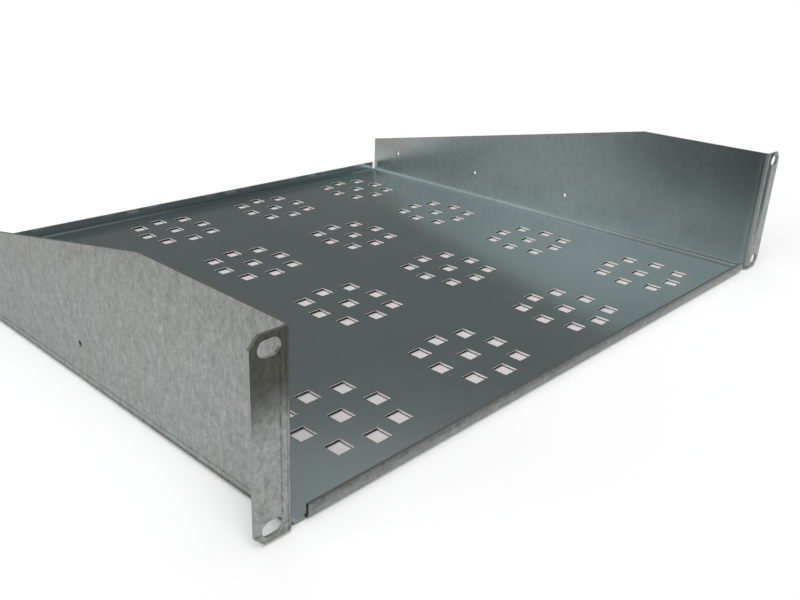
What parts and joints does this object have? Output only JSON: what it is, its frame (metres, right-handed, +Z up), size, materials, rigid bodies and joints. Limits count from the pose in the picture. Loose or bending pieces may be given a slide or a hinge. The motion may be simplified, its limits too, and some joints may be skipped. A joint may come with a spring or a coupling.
{
  "type": "cantilever rack shelf",
  "caption": "Two-unit cantilever shelf for a 19-inch rack, folded from one galvanised steel sheet, with sloping side walls, slotted mounting ears, low front and rear lips and a vented floor.",
  "frame": {"origin": "centre of the overall width and depth, on the floor's underside", "axes": "+X across the rack to the right seen from the front, +Y from the mounting ears towards the rear edge, +Z up"},
  "size_m": [0.4826, 0.398, 0.0892],
  "materials": {
    "galvanised_steel": "hot-dip galvanised, satin, faintly spangled"
  },
  "bodies": {
    "root": {"shelf": "galvanised_steel"}
  },
  "joints": []
}
